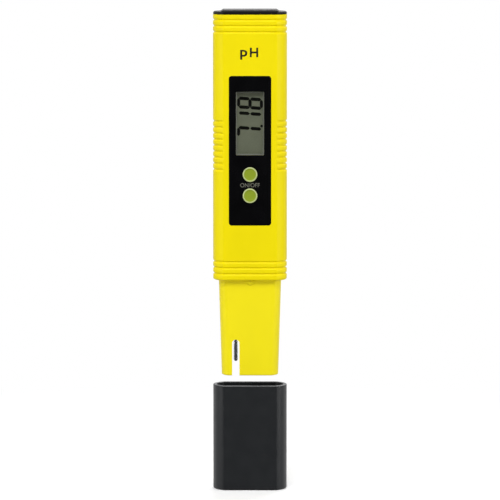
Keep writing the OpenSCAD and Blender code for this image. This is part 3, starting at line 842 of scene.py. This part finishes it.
READING = "7.18"
DIGIT_W = 4.8
DIGIT_H = 10.6
DIGIT_PITCH = 5.95
DIGIT_SLANT = math.tan(math.radians(4))
BAR_T = 1.3
BAR_GAP = 0.07
SEGMENTS = {
    "a": ((0, 1), (1, 1)), "b": ((1, 1), (1, 0.5)), "c": ((1, 0.5), (1, 0)), "d": ((1, 0), (0, 0)),
    "e": ((0, 0), (0, 0.5)), "f": ((0, 0.5), (0, 1)), "g": ((0, 0.5), (1, 0.5)),
}
LIT = {"7": "abc", "1": "bc", "8": "abcdefg"}


def bar_outline(start, end):
    """Display segment between two corners of the digit, with pointed ends."""
    inner_w = DIGIT_W - BAR_T
    inner_h = DIGIT_H - BAR_T
    a = Vector((start[0] * inner_w, start[1] * inner_h))
    b = Vector((end[0] * inner_w, end[1] * inner_h))
    along = (b - a).normalized()
    across = Vector((-along.y, along.x)) * BAR_T / 2
    a += along * BAR_GAP
    b -= along * BAR_GAP
    tip = along * BAR_T / 2
    return [a, a + tip + across, b - tip + across, b, b - tip - across, a + tip - across]


def on_display(point, digit_z):
    """Turns a digit's own (right, up) into (x, z): its right is the pen's up, and its up is -X."""
    right, up = point
    x = (DIGIT_H - BAR_T) / 2 - up
    return x, digit_z + right - (x * DIGIT_SLANT)


def build_digits():
    """The reading, which runs up the display, as thin dark bars on its glass."""
    ink_t = 0.03
    point_r = 0.42 * BAR_T
    below_feet = 0.05
    past_bar = 0.25
    top_margin = 3.0
    figures = READING.replace(".", "")
    after_point = len(figures) - READING.index(".")
    back_y = box_mm("lcd_glass")[0].y - EPS
    right_bar_z = WINDOW_Z1 - top_margin
    outlines = []
    for place, figure in enumerate(reversed(figures)):
        base_z = right_bar_z - place * DIGIT_PITCH - (DIGIT_W - BAR_T)
        for name in LIT[figure]:
            outlines.append([on_display(p, base_z) for p in bar_outline(*SEGMENTS[name])])
    point_x = (DIGIT_H - BAR_T) / 2 + below_feet
    point_z = right_bar_z - after_point * DIGIT_PITCH + BAR_T / 2 + past_bar
    outlines.append(ring_of(point_x, point_z, point_r, 20))
    bars = joined(*(prism_y(outline, back_y - ink_t, back_y) for outline in outlines))
    obj = new_object("lcd_digits", *bars)
    finish_piece(obj, LCD_INK, "housing", "lcd")


# ---------------------------------------------------------------- printed legends

LEGEND_T = 0.02


def legend(name, text, weight, low, high, material, slot):
    """Generic legend as a thin layer of ink, fitted between two corners in millimetres.

    The weight makes its strokes thicker than the plain typeface's.
    """
    curve = bpy.data.curves.new(name, "FONT")
    curve.body = text
    curve.extrude = LEGEND_T / 2
    curve.offset = weight
    obj = plate_from_curve(name, curve, 0, 0)
    own_low, own_high = Vector(obj.bound_box[0]), Vector(obj.bound_box[6])
    for vertex in obj.data.vertices:
        shares = [(c - a) / (b - a) for c, a, b in zip(vertex.co, own_low, own_high)]
        vertex.co = [(a + (b - a) * share) * MM for a, b, share in zip(low, high, shares)]
    finish_piece(obj, material, "housing", slot)


def build_legends():
    """The quantity above the window, and the legend between the buttons."""
    baseline = TOP_Z - 17.1
    x_height = 2.95
    cap_height = 3.85
    descender = 1.0
    face_y = -HALF_D
    back_y = face_y - LEGEND_T
    legend("legend_p", "p", 0.02, (-3.95, back_y, baseline - descender),
           (-1.1, face_y, baseline + x_height), BLACK_INK, "black_label")
    legend("legend_h", "H", 0.024, (-0.05, back_y, baseline),
           (3.3, face_y, baseline + cap_height), BLACK_INK, "black_label")
    half_w = 3.95
    half_h = 0.85
    middle = sum(BUTTON_ZS.values()) / 2
    legend("legend_on_off", "ON/OFF", 0.008, (-half_w, label_low.y - LEGEND_T, middle - half_h),
           (half_w, label_low.y, middle + half_h), PALE_INK, "white_plastic")


# ---------------------------------------------------------------- buttons

def build_button(node, name):
    """Turned button: dished olive face, rounded rim in a paler green that is a painted highlight,
    retaining flange and stem.
    """
    low, high = box_mm(node)
    z = BUTTON_ZS[node]
    face_y = low.y
    dish_r = 2.45
    dish = [(0.02, 0.16), (0.6 * dish_r, 0.15), (dish_r - 0.12, 0.12), (dish_r, 0.03), (dish_r + 0.1, 0)]
    rim_round = 0.22
    rim_depth = 0.5
    flange_gap = 0.15
    flange_t = 0.6
    flange_r = (high.x - low.x) / 2
    flange_y = WALL - HALF_D + flange_gap
    flange_back = flange_y + flange_t
    stem_r = 1.5
    profile = [(r, face_y + depth) for r, depth in dish]
    profile += [(BUTTON_R - inset, face_y + depth) for inset, depth in quarter_round(rim_round, 5)]
    profile += [(BUTTON_R, flange_y), (flange_r, flange_y), (flange_r, flange_back),
                (stem_r, flange_back), (stem_r, high.y)]
    obj = new_object(name, *lathe_y(profile, 0, z))

    def on_rim(face):
        away = math.hypot(face.center.x, face.center.z - z * MM)
        return away > dish_r * MM and face.center.y < (face_y + rim_depth) * MM

    # The rim's faces get the paler green, a painted highlight.
    paint(obj, MATERIALS["button_green"], BUTTON_RIM_PAINTED_SHEEN, on_rim)
    smooth(obj, angle=40)
    finish_piece(obj, None, node, "button_green", node)


# ---------------------------------------------------------------- probe guard

def guard_side_x(z):
    """Half distance between the centres of the guard's round sides at height z."""
    return SIDE_X - GUARD_TAPER * (1 - (z - TIP_Z) / (SHOULDER_Z - TIP_Z))


def guard_rings(*levels, tapered=True):
    """Rings of the guard from (inset, z, blend) levels."""
    rings = []
    for inset, z, blend in levels:
        side_x = guard_side_x(z) if tapered else SIDE_X
        rings.append([(x, y, z) for x, y in whole_section(inset, blend, side_x)])
    return rings


def build_guard():
    """Sleeve round the probe: tapered, slotted, with a neck and a flange held in the housing."""
    outer_blend, neck_blend, flange_blend, bore_blend = 1.9, 1.2, 1.0, 0.8
    play = 0.1
    tip_r = 0.45
    chamfer_w, chamfer_h = 0.2, 0.3
    flange_h = 2.0
    bore_step = 1.0
    steps = 8
    top_z = box_mm("electrode_guard")[1].z
    flange_z = top_z - flange_h
    step_z = SHOULDER_Z - bore_step
    neck = GUARD_INSET + play
    flange = WALL + play
    bore = GUARD_INSET + GUARD_WALL
    tip = [(GUARD_INSET + inset, TIP_Z + rise, outer_blend) for inset, rise in quarter_round(tip_r, 6)]
    side_h = SHOULDER_Z - TIP_Z - tip_r
    side = [(GUARD_INSET, TIP_Z + tip_r + side_h * k / steps, outer_blend) for k in range(1, steps + 1)]
    rings = guard_rings(*tip, *side)
    rings += guard_rings(
        (neck, SHOULDER_Z, neck_blend), (neck, flange_z, neck_blend),
        (flange, flange_z, flange_blend), (flange, top_z, flange_blend),
        (bore + play, top_z, bore_blend), (bore + play, step_z, bore_blend), tapered=False)
    rings += guard_rings(
        (bore, step_z, bore_blend), (bore, TIP_Z + chamfer_h, bore_blend),
        (bore - chamfer_w, TIP_Z, bore_blend))
    obj = new_object("probe_guard", *sweep(rings, closed_path=True))
    combine(obj, *catch_solid(), "UNION")
    combine(obj, *prism_y(slot_outline(), -HALF_D, HALF_D))
    smooth(obj, angle=38)
    obj.visible_glossy = False
    finish_piece(obj, MATERIALS["yellow_guard"], "housing", "yellow_guard", "electrode_guard")


def slot_outline():
    """The slot in front of the needle: straight sides and a round top."""
    low, high = box_mm("temperature_probe")
    x = (low.x + high.x) / 2
    r = SLOT_W / 2
    foot = [(x - r, TIP_Z - PAST), (x + r, TIP_Z - PAST)]
    return foot + arc(x, TIP_Z + SLOT_H - r, r, 0, math.pi, 24)


def catch_solid():
    """Arrow-shaped catch under the collar, with sloped sides and a fine chamfer round its face."""
    half_w = 3.5
    height = 2.2
    proud = 0.5
    face_y = box_mm("electrode_guard")[0].y
    root_y = GUARD_INSET - HALF_D + GUARD_WALL / 2
    top_z = SHOULDER_Z - 0.05
    centre_z = top_z - height / 3
    corners = [(-half_w, top_z), (0, top_z - height), (half_w, top_z)]
    levels = [(1, root_y), (1, face_y + proud), (0.66, face_y + 0.04), (0.58, face_y)]
    rings = []
    for share, y in levels:
        rings.append([(x * share, y, min(top_z, centre_z + (z - centre_z) * share)) for x, z in corners])
    return capped(rings)


# ---------------------------------------------------------------- caps

def fill_rows(front, back, steps):
    """Rows of points from the front half of a ring to the mirrored back half."""
    rows = []
    for k in range(steps + 1):
        t = k / steps
        rows.append([tuple(a + (b - a) * t for a, b in zip(p, q)) for p, q in zip(front, back)])
    return rows


def end_face(ring, steps=3):
    """Skin across a ring of the body's section, so that its height can vary along X."""
    half = len(ring) // 2 + 1
    front = ring[:half]
    back = [ring[0]] + ring[:half - 2:-1]
    return sweep(fill_rows(front, back, steps), closed_ring=False)


def build_battery_cap():
    """Cap over the battery end: rounded rim, a raised middle with sloped ends, and a plug."""
    low, high = box_mm("battery_cap")
    rim_z = TOP_Z + 0.05
    rim_top = TOP_Z + 1.25
    rim_inset = 0.05
    rim_r = 0.8
    chamfer_inset, chamfer_h = 0.2, 0.12
    raise_h = high.z - rim_top
    raise_half = 12.0
    raise_slope = 1.4
    plug_inset = WALL + 0.25
    plug_blend = 0.5
    flat_steps = 60

    def lift(x):
        return raise_h * smooth_step((raise_half - abs(x)) / raise_slope)

    def ring(inset, z, blend=EDGE_R, raised=0):
        outline = whole_section(inset, blend, flat_steps=flat_steps)
        return [(x, y, z + raised * lift(x)) for x, y in outline]

    rings = [ring(plug_inset, low.z, plug_blend), ring(plug_inset, rim_z, plug_blend)]
    rings += [ring(chamfer_inset, rim_z), ring(rim_inset, rim_z + chamfer_h)]
    for drop, inset in quarter_round(rim_r, 7):
        rings.append(ring(rim_inset + inset, rim_top - drop, raised=1))
    solid = joined(sweep(rings), end_face(rings[0]), end_face(rings[-1], steps=6))
    obj = new_object("battery_end_cap", *solid)
    cut_tongue_socket(obj)
    smooth(obj, angle=40)
    # The battery cap gets the darker copy of the caps' black, painted shade.
    finish_piece(obj, END_CAP_SHADED_BLACK, "battery_cap", "black_cap", "battery_cap")


def cut_tongue_socket(obj):
    """Socket in the plug for the tongue of the battery tray."""
    half_w = 6.1
    half_d = 1.6
    foot_z = box_mm("battery_cap")[0].z - PAST
    top_z = box_mm("battery_tray")[1].z + 0.1
    outline = [(-half_w, foot_z), (half_w, foot_z), (half_w, top_z), (-half_w, top_z)]
    combine(obj, *prism_y(outline, -half_d, half_d))


def build_protective_cap():
    """Push-on cap: straight walls, a softly rounded closed end and a fine round at its mouth."""
    low, high = box_mm("protective_cap")
    wall = 1.4
    floor_z = 1.8
    foot_r = 0.7
    lip_r = 0.3
    inner_r = 0.6
    steps = 5
    blend, least_blend, blend_loss = 0.8, 0.5, 0.2

    def ring(inset, z):
        return [(x, y, z) for x, y in whole_section(inset, max(least_blend, blend - inset * blend_loss))]

    rings = [ring(inset, low.z + rise) for inset, rise in quarter_round(foot_r, steps)]
    rings += [ring(inset, high.z - drop) for drop, inset in quarter_round(lip_r, steps)]
    rings += [ring(wall - back, high.z - drop) for back, drop in quarter_round(lip_r, steps)]
    rings += [ring(wall + inset, floor_z + rise) for rise, inset in quarter_round(inner_r, steps)]
    solid = joined(sweep(rings), end_face(rings[0]), end_face(rings[-1]))
    obj = new_object("push_on_cap", *solid)
    smooth(obj, angle=35)
    finish_piece(obj, MATERIALS["black_cap"], "protective_cap", "black_cap", "protective_cap")


# ---------------------------------------------------------------- carried-over CAD nodes

def dress_cad_nodes():
    """Gives each CAD node that is still shown its procedural material."""
    looks = {part["node"]: MATERIALS[part["material_slot"]] for part in frame["record"]["subparts"]}
    looks.update({"temperature_probe": NEEDLE_STEEL, "button_cells": CELL_STEEL})
    for node, obj in frame["nodes"].items():
        for place in obj.material_slots:
            place.material = looks[node]


# ---------------------------------------------------------------- stage, light and camera

MIDDLE = (cad_box[0] + cad_box[1]) / 2
FLOOR_BOUNCE = (0.36, 0.36, 0.36)  # floor colour as the object sees it, which keeps its grooves crisp


def stage_material():
    """Matt white paper that turns into plain white light away from the object."""
    fade_start, fade_end = 0.04, 0.3
    look = Look("stage_paper")
    tooth = look.noise(0.8, 3)
    paper = look.blend(look.spread(tooth, 0, 1), (0.93, 0.93, 0.93), (0.95, 0.95, 0.95))
    seen = look.add("ShaderNodeLightPath")
    look.set(Base_Color=look.blend(seen.outputs["Is Camera Ray"], FLOOR_BOUNCE, paper))
    look.set(Roughness=0.9, Specular_IOR_Level=0.0)
    look.set(Emission_Color=(1, 1, 1, 1), Emission_Strength=0.14)
    place = look.add("ShaderNodeTexCoord")
    length = look.add("ShaderNodeVectorMath", operation="LENGTH")
    look.link(place.outputs["Object"], length.inputs[0])
    far = look.spread(length.outputs["Value"], 0, 1, fade_start, fade_end)
    glow = look.add("ShaderNodeEmission")
    look.show_mix(look.math("MULTIPLY", far, seen.outputs["Is Camera Ray"]), look.shader, glow)
    return look.material


def build_stage():
    """Wide floor just under the object, which reflections don't see."""
    reach = 4000
    corners = [(-reach, -reach), (reach, -reach), (reach, reach), (-reach, reach)]
    floor = new_object("stage_floor", [(x, y, -EPS) for x, y in corners], [(0, 1, 2, 3)])
    floor.data.materials.append(stage_material())
    floor.visible_glossy = False


def build_world():
    """White surroundings. Reflections see a bright ceiling and backdrop and a dark room in front."""
    ambient = 0.3
    seen_white = 1.0
    world = bpy.data.worlds.new("studio")
    world.use_nodes = True
    bpy.context.scene.world = world
    sky = NodeTree(world.node_tree)
    place = sky.add("ShaderNodeTexCoord")
    towards = sky.add("ShaderNodeSeparateXYZ")
    sky.link(place.outputs["Generated"], towards.inputs[0])
    ceiling = sky.spread(towards.outputs["Z"], 0.06, 1.2, start=0.1, end=0.7)
    backdrop = sky.spread(towards.outputs["Y"], 0.0, 0.75, start=-0.3, end=0.6)
    mirrored = sky.math("MAXIMUM", ceiling, backdrop)
    rays = sky.add("ShaderNodeLightPath")
    lit = sky.choose(rays.outputs["Is Glossy Ray"], ambient, mirrored)
    background = sky.add("ShaderNodeBackground")
    background.inputs["Color"].default_value = (1, 1, 1, 1)
    sky.link(sky.choose(rays.outputs["Is Camera Ray"], lit, seen_white), background.inputs["Strength"])
    output = sky.add("ShaderNodeOutputWorld")
    sky.link(background.outputs[0], output.inputs[0])


def softbox(name, place, size, power):
    """Large area light aimed at the meter's middle. Places and sizes are in metres, power in watts."""
    light = bpy.data.lights.new(name, "AREA")
    light.shape = "RECTANGLE"
    light.size, light.size_y = size
    light.energy = power
    obj = bpy.data.objects.new(name, light)
    obj.location = place
    obj.rotation_euler = (MIDDLE - Vector(place)).to_track_quat("-Z", "Y").to_euler()
    bpy.context.scene.collection.objects.link(obj)
    return obj


def build_lights():
    """Key above the camera, weaker lights at the sides and behind, and a fill that nothing mirrors."""
    softbox("key", (-0.24, -1.47, 1.64), (1.1, 0.8), 26.5)
    softbox("left", (-0.95, -0.25, 0.35), (0.35, 0.8), 3.0)
    softbox("right", (0.95, -0.25, 0.35), (0.35, 0.8), 4.0)
    softbox("back", (0.3, 1.4, 1.3), (1.1, 0.8), 16.0)
    fill = softbox("fill", (0.1, -1.6, 0.2), (0.9, 0.25), 1.8)
    fill.visible_glossy = False


def build_camera():
    """Long lens a little above the meter, as in a product shot."""
    elevation = math.radians(6)
    distance = 1.6
    data = bpy.data.cameras.new("camera")
    data.lens = 283
    data.sensor_width = 36
    data.clip_start = 0.01
    obj = bpy.data.objects.new("camera", data)
    obj.location = MIDDLE + Vector((0, -math.cos(elevation), math.sin(elevation))) * distance
    obj.rotation_euler = (math.pi / 2 - elevation, 0, 0)
    bpy.context.scene.collection.objects.link(obj)
    bpy.context.scene.camera = obj


dress_cad_nodes()
build_front_shell()
build_rear_shell()
build_label("front_face_label", "front_label",
            [label_outline(), window_outline(WINDOW_GAP)] + button_holes())
build_label("rear_face_label", "rear_label", [rear_label_outline()])
build_window()
build_lcd_cell()
build_digits()
build_legends()
build_button("power_button", "power_key")
build_button("cal_button", "cal_key")
build_guard()
build_battery_cap()
build_protective_cap()
build_stage()
build_world()
build_lights()
build_camera()
bpy.context.scene.view_settings.view_transform = "Standard"
